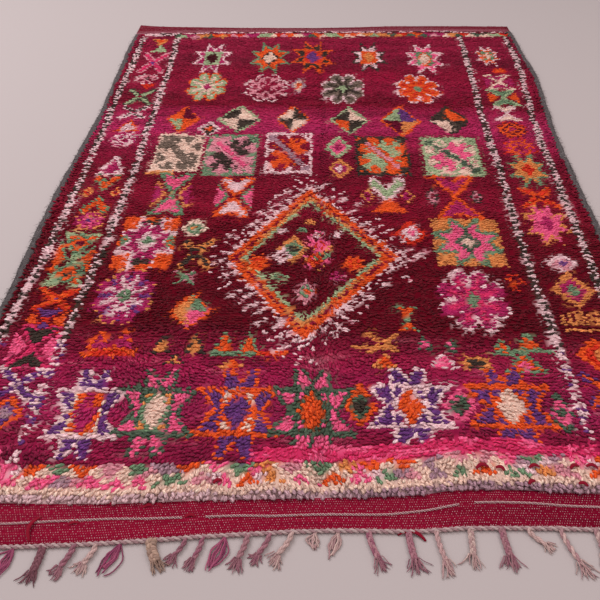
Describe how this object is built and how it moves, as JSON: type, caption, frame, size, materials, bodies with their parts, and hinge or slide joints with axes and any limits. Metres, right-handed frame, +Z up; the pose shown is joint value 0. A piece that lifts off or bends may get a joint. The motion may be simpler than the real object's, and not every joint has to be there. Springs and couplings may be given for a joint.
{
  "type": "beni mguild rug",
  "caption": "Hand-knotted wool pile rug lying flat, with flat-woven ends, overcast goat-hair selvedges and a plaited tassel fringe on a twisted end cord at one end.",
  "frame": {"origin": "middle of the rug's footprint, fringe included, on the floor that it lies on", "axes": "+X across the rug, +Y along the rug away from the fringed end, +Z up from the floor through the pile"},
  "size_m": [1.8524, 2.9872, 0.0224],
  "materials": {
    "wool_pile": "knotted wool pile in crimson, maroon and magenta with motifs in orange, pink, green, cream and purple",
    "goat_hair": "coarse dark grey-brown hair, overcast along the edge",
    "warp_yarn": "dusty pink and cream plied wool yarn, plaited and frayed"
  },
  "bodies": {
    "root": {"rug_body": "wool_pile", "selvedge_left": "goat_hair", "selvedge_right": "goat_hair", "fringe_near": "warp_yarn"}
  },
  "joints": []
}
